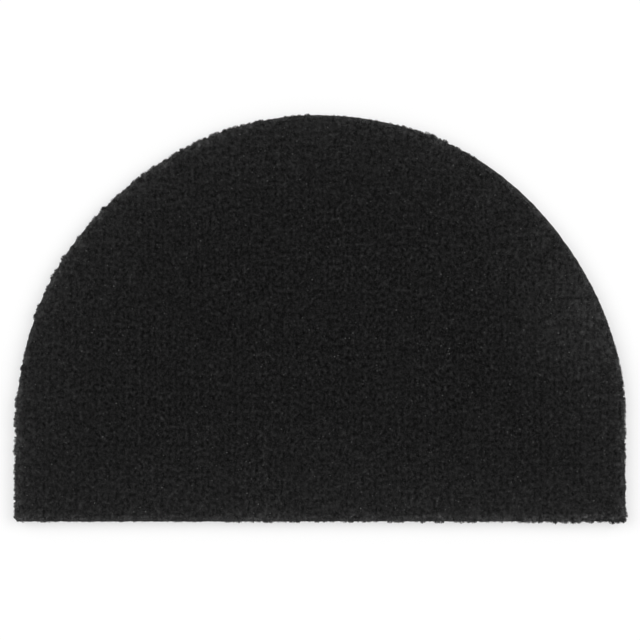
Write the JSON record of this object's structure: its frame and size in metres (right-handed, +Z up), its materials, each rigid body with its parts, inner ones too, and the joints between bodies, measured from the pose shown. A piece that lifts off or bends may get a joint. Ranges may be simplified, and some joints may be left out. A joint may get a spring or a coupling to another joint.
{
  "type": "half round coir doormat",
  "caption": "Half round black doormat of dense sheared coir pile on a thin vinyl backing, with one straight edge that lies against a door sill and a hand-cut round side.",
  "frame": {"origin": "on the floor, under the middle of the mat's box", "axes": "+X runs along the straight edge, to the right with the round side away from the viewer; +Y points from the straight edge to the crown of the round side; +Z is up, out of the pile"},
  "size_m": [0.6014, 0.4008, 0.015],
  "materials": {
    "coir_pile": "matt, stiff cut fibre dyed black, in close rows of tufts",
    "vinyl_backing": "satin black, fine pebble grain on the underside, knife-cut edge"
  },
  "bodies": {
    "root": {"backing": "vinyl_backing", "pile": "coir_pile"}
  },
  "joints": []
}
